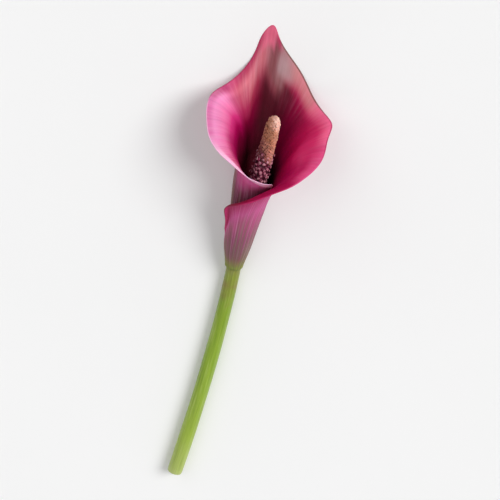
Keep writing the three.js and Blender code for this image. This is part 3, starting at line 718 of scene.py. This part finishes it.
def build_spadix(body, male, ovary, stigma):
    rng = np.random.default_rng(11)
    z, r = spadix_core()
    florets = 0.75 * smooth(FERTILE - 3, FERTILE + 2, z)
    core = np.maximum(r - florets * np.minimum(1, r / 2.2), 0.02)
    core_z = np.where(z > 95.1, z - 0.55 * smooth(95.1, 98.3, z), z)
    sides = 40
    ring = np.linspace(0, 2 * np.pi, sides, endpoint=False)
    points = np.stack(
        [
            core[:, None] * np.cos(ring) + spadix_lean(z)[:, None],
            core[:, None] * np.sin(ring),
            np.repeat(core_z[:, None], sides, 1),
        ],
        -1,
    )
    rows = len(z)
    verts = np.concatenate([points.reshape(-1, 3), [[0, 0, 2.4], [spadix_lean(98.3), 0, core_z[-1]]]])
    faces = grid_faces(rows, sides, wrap=True, flip=True)
    for k in range(sides):
        m = (k + 1) % sides
        faces.append((m, k, rows * sides))
        faces.append(((rows - 1) * sides + k, (rows - 1) * sides + m, rows * sides + 1))
    tall = np.concatenate([np.repeat(z, sides), [0, 100]])
    spadix = [add_mesh("spadix_axis", to_row(verts), faces, body, {"tall": tall})]

    # florets at even spacing on a spiral: heights come from the area below them
    slope = np.gradient(r, z)
    area = np.concatenate([[0], np.cumsum(2 * np.pi * (r[1:] + r[:-1]) / 2 * np.hypot(np.diff(z), np.diff(r)))])

    def places(low, high, cell):
        a0, a1 = np.interp([low, high], z, area)
        n = int((a1 - a0) / cell)
        level = np.interp(a0 + (np.arange(n) + 0.5) * cell, area, z)
        turn = np.arange(n) * math.radians(137.50776)
        return level, turn

    def frames(level, turn, sink, loose, pits):
        rr = np.interp(level, z, r)
        tilt = np.interp(level, z, slope)
        away = unit(np.stack([np.cos(turn), np.sin(turn), -np.clip(tilt, -6, 3)], -1))
        at = np.stack([rr * np.cos(turn) + spadix_lean(level), rr * np.sin(turn), level], -1)
        at = at + rng.normal(0, loose, at.shape)
        jitter = rng.normal(0, 0.13, away.shape)
        away = unit(away + jitter)
        side = unit(np.cross(away, [0.0, 0.0, 1.0]) + 1e-6)
        spin = rng.uniform(-1.3, 1.3, len(level))
        up = np.cross(away, side)
        a = side * np.cos(spin)[:, None] + up * np.sin(spin)[:, None]
        b = np.cross(away, a)
        chance = rng.random(len(level))
        depth = sink + np.where(chance < pits, 0.42, 0) - np.where(chance > 1 - 0.6 * pits, 0.26, 0)
        return at - away * depth[:, None], a, b, away

    def scatter(name, level, turn, sink, loose, pits, template, faces, top, material, scale, indices=None):
        at, a, b, away = frames(level, turn, sink, loose, pits)
        n, m = len(level), len(template)
        size = scale * rng.uniform(0.80, 1.16, n)
        tall = scale * rng.uniform(0.88, 1.12, n)
        p = (
            at[:, None]
            + a[:, None] * (template[None, :, 0] * size[:, None])[..., None]
            + b[:, None] * (template[None, :, 1] * size[:, None])[..., None]
            + away[:, None] * (template[None, :, 2] * tall[:, None])[..., None]
        )
        all_faces = [tuple(i + k * m for i in f) for k in range(n) for f in faces]
        tone = np.repeat(np.clip(rng.normal(0.5, 0.24, n), 0, 1), m)
        # right: how far round to the right of the spadix each floret sits; it sets painted light on the right and
        # painted shade on the left
        return add_mesh(name, to_row(p.reshape(-1, 3)), all_faces, material,
                        {"tone": tone, "top": np.tile(top, n), "level": np.repeat(level + 3.6 * OBLIQUE * np.cos(turn), m),
                         "right": np.repeat(np.cos(turn), m)},
                        None if indices is None else np.tile(indices, n))

    # a male floret: a blunt, two-lobed pad with a shallow groove across it
    seg, tiers = 12, [(1.0, 0.0), (1.06, 0.34), (1.04, 0.62), (0.92, 0.84), (0.64, 0.96), (0.30, 1.0)]
    t = np.linspace(0, 2 * np.pi, seg, endpoint=False)
    pad, top = [], []
    for rho, h in tiers:
        x, y = 0.62 * rho * np.cos(t) * (1 + 0.10 * np.cos(2 * t)), 0.74 * rho * np.sin(t) * (1 + 0.05 * np.cos(3 * t))
        slit = 0.13 * np.exp(-((y / 0.20) ** 2)) * smooth(0.55, 0.95, h) * np.ones(seg)
        pad.append(np.stack([x, y, 1.15 * h - slit], -1))
        # top: how high up the pad a point lies, less in the groove; it sets the painted shade between florets and in
        # the groove
        top.append(np.clip(h - 2.0 * slit, 0, 1))
    pad = np.concatenate(pad + [[[0, 0, 1.15 - 0.12], [0, 0, 0]]])
    top = np.concatenate(top + [[0.75, 0.0]])
    pad_faces = grid_faces(len(tiers), seg, wrap=True, flip=True)
    last = (len(tiers) - 1) * seg
    pad_faces += [(last + k, last + (k + 1) % seg, len(pad) - 2) for k in range(seg)]
    pad_faces += [((k + 1) % seg, k, len(pad) - 1) for k in range(seg)]
    level, turn = places(CHANGE - 5.3, 98.2, 1.30)
    from_change = level - CHANGE + OBLIQUE * np.cos(turn)
    keep = rng.random(len(level)) < smooth(-4.6, 1.2, from_change)
    level, turn = level[keep], turn[keep]
    spadix.append(scatter("spadix_male", level, turn, 0.96, 0.13, 0.13, pad, pad_faces, top, male, 0.96))

    # a female floret: a round ovary with a short style and a flat, round stigma on it
    profile = [(1.16, 0.0), (1.20, 0.35), (1.10, 0.72), (0.86, 1.02), (0.56, 1.18), (0.36, 1.26), (0.34, 1.36),
               (0.52, 1.42), (0.71, 1.50), (0.75, 1.62), (0.60, 1.76), (0.31, 1.84)]
    seg = 12
    t = np.linspace(0, 2 * np.pi, seg, endpoint=False)
    lumpy = 1 + 0.13 * np.cos(2 * t + 0.4) + 0.07 * np.cos(3 * t) + 0.05 * np.cos(5 * t + 1)
    bottle = []
    for q, h in profile:
        wide = q * (lumpy if h > 1.4 else 1)
        bottle.append(np.stack([wide * np.cos(t), wide * np.sin(t), h + (0.07 * np.cos(2 * t + 1) * q if h > 1.4 else 0 * t)], -1))
    bottle = np.concatenate(bottle + [[[0, 0, 1.87], [0, 0, 0]]])
    # top: how high up the floret a point lies; it sets the painted shade at the foot of each ovary
    top = np.concatenate([np.repeat([h / 1.2 for _, h in profile], seg), [1.4, 0.0]])
    bottle_faces = grid_faces(len(profile), seg, wrap=True, flip=True)
    last = (len(profile) - 1) * seg
    bottle_faces += [(last + k, last + (k + 1) % seg, len(bottle) - 2) for k in range(seg)]
    kinds = [0 if k < 6 * seg else 1 for k in range(len(bottle_faces))]
    bottle_faces += [((k + 1) % seg, k, len(bottle) - 1) for k in range(seg)]
    kinds += [0] * seg
    level, turn = places(FERTILE, CHANGE + 3.7, 6.0)
    from_change = level - CHANGE + OBLIQUE * np.cos(turn)
    keep = rng.random(len(level)) < 1 - smooth(-2.0, 3.2, from_change)
    level, turn = level[keep], turn[keep]
    spadix.append(scatter("spadix_female", level, turn, 1.42, 0.40, 0.06, bottle, bottle_faces, top, [ovary, stigma], 1.06, kinds))
    return spadix


# ------------------------------------------------------------------ the stem
def stem_centre(t):
    t = np.asarray(t, float)
    start_y, start_z = STEM_START * COS, BASE_HEIGHT - STEM_START * SIN
    y = start_y + STEM_LENGTH * t
    lift = start_z - STEM_TOP
    sink = np.exp(-(y - start_y) * math.tan(PITCH) / lift)
    radius = lerp(STEM_TOP, STEM_END, np.maximum(t, 0) ** 0.8)
    centre = np.stack([STEM_BOW * np.maximum(t, 0) ** 1.6, y, radius + lift * sink], -1)
    return centre + np.array(SHIFT), radius


def build_stem(skin, cut):
    sides = 64
    t = np.linspace(0, 1, 150) ** 1.15
    centre, radius = stem_centre(t)
    e = 0.002
    forward = unit(stem_centre(np.minimum(1, t + e))[0] - stem_centre(np.maximum(0, t - e))[0])
    forward[0] = (0, COS, -SIN)
    forward[1] = unit(forward[1] + forward[0])
    # two rings more reach up into the foot of the spathe
    centre = np.concatenate([[centre[0] - forward[0] * 1.6, centre[0] - forward[0] * 0.7], centre])
    forward = np.concatenate([[forward[0], forward[0]], forward])
    radius = np.concatenate([[3.6, 4.08], radius])
    down = np.concatenate([[0, 0], t])
    side = unit(np.cross([0.0, 0.0, 1.0], forward))
    over = np.cross(forward, side)
    ring = np.linspace(0, 2 * np.pi, sides, endpoint=False)
    twist = 0.35 * down[:, None]
    ribs_round = (
        0.045 * np.cos(13 * ring[None] + twist * 2) + 0.030 * np.cos(29 * ring[None] - twist) + 0.05 * np.cos(2 * ring[None] + 1.0 + 3 * twist)
    ) * smooth(0.0, 0.03, down)[:, None]
    slow = 0.05 * np.sin(17 * down + 0.5)[:, None] * smooth(0.05, 0.15, down)[:, None]
    r = radius[:, None] + ribs_round + slow - 0.10 * smooth(0.0, 0.03, down)[:, None]
    # the cut end: the skin's edge is rounded
    r[-1] -= 0.22
    points = centre[:, None] + side[:, None] * (r * np.cos(ring))[..., None] + over[:, None] * (r * np.sin(ring))[..., None]
    points[-2] = points[-2] * 0.35 + points[-1] * 0.65 + (points[-2] - centre[-2]) * 0.02
    rows = len(points)
    verts = list(points.reshape(-1, 3))
    attributes = {
        "around": list(np.tile(ring / (2 * np.pi), rows)),
        "down": list(np.repeat(down, sides)),
        "reach": [1.0] * (rows * sides),
    }
    faces = grid_faces(rows, sides, wrap=True)
    kinds = [0] * len(faces)
    # cut face, a little uneven
    rng = np.random.default_rng(5)
    tiers = [0.94, 0.86, 0.74, 0.58, 0.40, 0.20]
    bumps = [0.10, 0.16, 0.12, 0.06, 0.10, 0.02]
    for share, bump in zip(tiers, bumps):
        rough = bump + 0.06 * np.sin(5 * ring + 9 * share) + rng.uniform(-0.03, 0.03, sides)
        flat = centre[-1] + side[-1] * (r[-1] * share * np.cos(ring))[:, None] + over[-1] * (r[-1] * share * np.sin(ring))[:, None]
        verts += list(flat + forward[-1] * rough[:, None])
        attributes["around"] += list(ring / (2 * np.pi))
        attributes["down"] += [1.0] * sides
        attributes["reach"] += [share] * sides
    more = grid_faces(len(tiers) + 1, sides, wrap=True, offset=(rows - 1) * sides)
    faces += more
    kinds += [1] * len(more)
    verts.append(centre[-1] + forward[-1] * 0.05)
    verts.append(centre[0])
    for key, value in (("around", 0.0), ("down", 1.0), ("reach", 0.0)):
        attributes[key] += [value, value]
    end, top = len(verts) - 2, len(verts) - 1
    last = (rows - 1 + len(tiers)) * sides
    for k in range(sides):
        m = (k + 1) % sides
        faces.append((last + k, end, last + m))
        kinds.append(1)
        faces.append((m, top, k))
        kinds.append(0)
    return add_mesh("stem_stalk", np.array(verts) / 1000, faces, [skin, cut], attributes, kinds)


# ------------------------------------------------------------------ the flower
def check_facing(obj):
    """Turns a closed mesh's faces outwards."""
    mesh = obj.data
    co = np.zeros(len(mesh.vertices) * 3)
    mesh.vertices.foreach_get("co", co)
    co = co.reshape(-1, 3)
    mesh.calc_loop_triangles()
    tri = np.zeros(len(mesh.loop_triangles) * 3, np.int32)
    mesh.loop_triangles.foreach_get("vertices", tri)
    a, b, c = co[tri.reshape(-1, 3)].transpose(1, 0, 2)
    volume = np.einsum("ij,ij->i", a, np.cross(b, c)).sum() / 6
    print(f"{obj.name}: {len(tri) // 3} triangles, volume {volume * 1e6:.2f} cm3")
    if volume < 0:
        mesh.flip_normals()


bract = build_spathe(spathe_material())
spadix = build_spadix(*spadix_materials())
stem = build_stem(*stem_materials())
for piece in [bract, *spadix, stem]:
    check_facing(piece)

for piece, node in [(bract, "spathe"), *[(p, "spadix") for p in spadix], (stem, "stem")]:
    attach(piece, "root")
    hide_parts(node)

# ------------------------------------------------------------------ floor, light, camera
floor_shader = Shader("pale_floor")
speck = floor_shader.noise(floor_shader.place(), 8.0, 2.0)
floor_shader.principled(Base_Color=floor_shader.mix(speck, (249, 249, 249), (252, 252, 252)), Roughness=0.85, Specular_IOR_Level=0.2)
size = 3.0
floor = add_mesh("floor", [(-size, -size, 0), (size, -size, 0), (size, size, 0), (-size, size, 0)], [(0, 1, 2, 3)], floor_shader.material)

# a light tent: pale all round the horizon, dimmer overhead
world = bpy.data.worlds.new("studio")
bpy.context.scene.world = world
world.use_nodes = True
tree = world.node_tree
background = tree.nodes["Background"]
direction = tree.nodes.new("ShaderNodeTexCoord")
parts = tree.nodes.new("ShaderNodeSeparateXYZ")
fade = tree.nodes.new("ShaderNodeMapRange")
fade.interpolation_type = "SMOOTHSTEP"
tree.links.new(direction.outputs["Generated"], parts.inputs[0])
tree.links.new(parts.outputs["Z"], fade.inputs["Value"])
for key, value in (("From Min", 0.05), ("From Max", 0.50), ("To Min", 0.92), ("To Max", 0.24)):
    fade.inputs[key].default_value = value
tree.links.new(fade.outputs["Result"], background.inputs["Strength"])
background.inputs["Color"].default_value = (1.0, 1.0, 1.0, 1.0)


def soft_light(name, toward, strength, width):
    """A large soft light that comes from one side and lights the whole floor alike. width is its angle in degrees."""
    data = bpy.data.lights.new(name, "SUN")
    data.energy, data.angle = strength, math.radians(width)
    light = bpy.data.objects.new(name, data)
    bpy.context.scene.collection.objects.link(light)
    light.rotation_mode = "QUATERNION"
    light.rotation_quaternion = (-Vector(toward)).to_track_quat("-Z", "Y")
    return light


soft_light("key", (-0.60, -0.40, 0.66), 2.05, 34)
soft_light("fill", (0.50, -0.40, 0.70), 0.55, 50)
soft_light("stem_side", (0.10, 0.70, 0.58), 0.42, 40)

bpy.context.scene.view_settings.view_transform = "Standard"
bpy.context.scene.view_settings.look = "None"

# the camera sees the mouth as the photograph does: from 30 degrees above the plane square to the flower's axis, which
# leans 11 degrees to the right in the picture
ALPHA, LEAN = math.radians(30), math.radians(11.2)
across = Vector((-1, 0, 0))
upward = Vector((0, -(math.cos(ALPHA) * COS + math.sin(ALPHA) * SIN), math.cos(ALPHA) * SIN - math.sin(ALPHA) * COS))
right = (across * math.cos(LEAN) + upward * math.sin(LEAN)).normalized()
up = (-across * math.sin(LEAN) + upward * math.cos(LEAN)).normalized()
toward = right.cross(up)
cam_data = bpy.data.cameras.new("camera")
camera = bpy.data.objects.new("camera", cam_data)
bpy.context.scene.collection.objects.link(camera)
bpy.context.scene.camera = camera
cam_data.lens, cam_data.sensor_width = 120, 36
every = np.concatenate([np.array([v.co for v in p.data.vertices]) for p in (bract, stem)])
half_angle = math.atan(18 / cam_data.lens)
head, aim, distance = np.array([0.0, -0.085, 0.018]), np.array([0.0, 0.0, 0.015]), 1.0
for _ in range(25):  # it stands in that direction from the head, and the object fills most of the frame, in its middle
    eye = head + np.array(toward) * distance
    view_back = Vector([float(c) for c in eye - aim]).normalized()
    view_up = view_back.cross(right).normalized()
    view_right = view_up.cross(view_back)
    rel = every - eye
    depth = -rel @ np.array(view_back)
    h, w = rel @ np.array(view_right) / depth, rel @ np.array(view_up) / depth
    centre_h, centre_w = (h.max() + h.min()) / 2, (w.max() + w.min()) / 2
    aim = aim + (np.array(view_right) * centre_h + np.array(view_up) * centre_w) * np.linalg.norm(eye - aim)
    spread = max(h.max() - h.min(), w.max() - w.min()) / 2
    distance *= spread / (math.tan(half_angle) * 0.90)
camera.location = head + np.array(toward) * distance
camera.rotation_mode = "QUATERNION"
camera.rotation_quaternion = Matrix((view_right, view_up, view_back)).transposed().to_quaternion()
cam_data.clip_start, cam_data.clip_end = 0.01, 20
print("camera", [round(c, 4) for c in camera.location], "distance", round(distance, 3), "looks down", round(math.degrees(math.asin(view_back.z)), 1))
